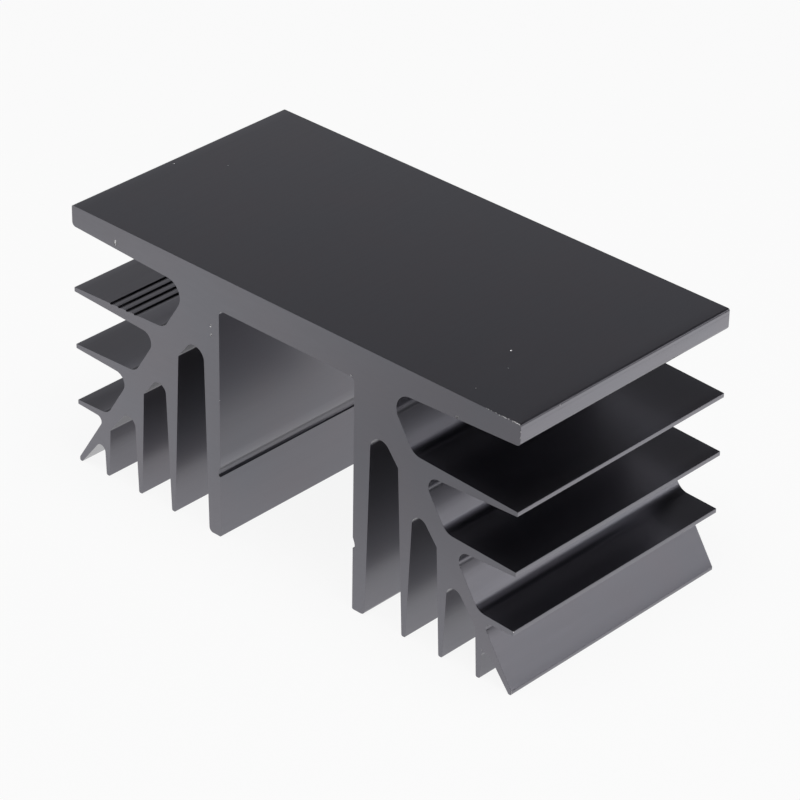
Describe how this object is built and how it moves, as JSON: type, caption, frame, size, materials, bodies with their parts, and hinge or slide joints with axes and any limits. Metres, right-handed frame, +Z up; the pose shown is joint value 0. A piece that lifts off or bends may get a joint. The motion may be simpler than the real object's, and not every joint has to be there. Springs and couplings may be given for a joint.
{
  "type": "extruded heat sink",
  "caption": "Black anodised aluminium heat sink, a flat plate on legs with a grooved channel between them and fins branching off a sloping arm on each side",
  "frame": {"origin": "on the standing plane, under the middle of the plate", "axes": "+Z up, square to the plate; +X across the section, to the side whose top fin has no code grooves; +Y along the extrusion"},
  "size_m": [0.1, 0.05, 0.05],
  "materials": {
    "black_anodised_aluminium": "satin black anodised, extruded faces with fine die lines and sawn ends"
  },
  "bodies": {
    "root": {"heat_sink": "black_anodised_aluminium"}
  },
  "joints": []
}
